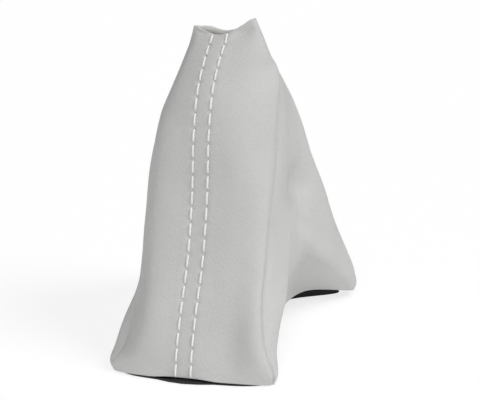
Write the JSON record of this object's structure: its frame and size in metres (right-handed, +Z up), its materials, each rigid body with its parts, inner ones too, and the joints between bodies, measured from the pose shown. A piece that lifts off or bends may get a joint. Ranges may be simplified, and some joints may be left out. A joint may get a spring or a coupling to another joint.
{
  "type": "gear lever gaiter",
  "caption": "Soft leather gear lever gaiter, folded in at both sides, open at a narrow top slot and at the base, with twin rows of running stitch down the front.",
  "frame": {"origin": "middle of the footprint's bounding box, at floor level under the base band", "axes": "+X across the stitched front panel, to the right of someone facing it; +Y from the stitched front to the back; +Z up towards the lever slot"},
  "size_m": [0.095, 0.1378, 0.1501],
  "materials": {
    "leather": "fine grain, satin",
    "thread": "twisted, matte",
    "band": "satin"
  },
  "bodies": {
    "root": {"leather_gaiter": "leather", "left_stitch_row": "thread", "right_stitch_row": "thread", "base_band": "band"}
  },
  "joints": []
}
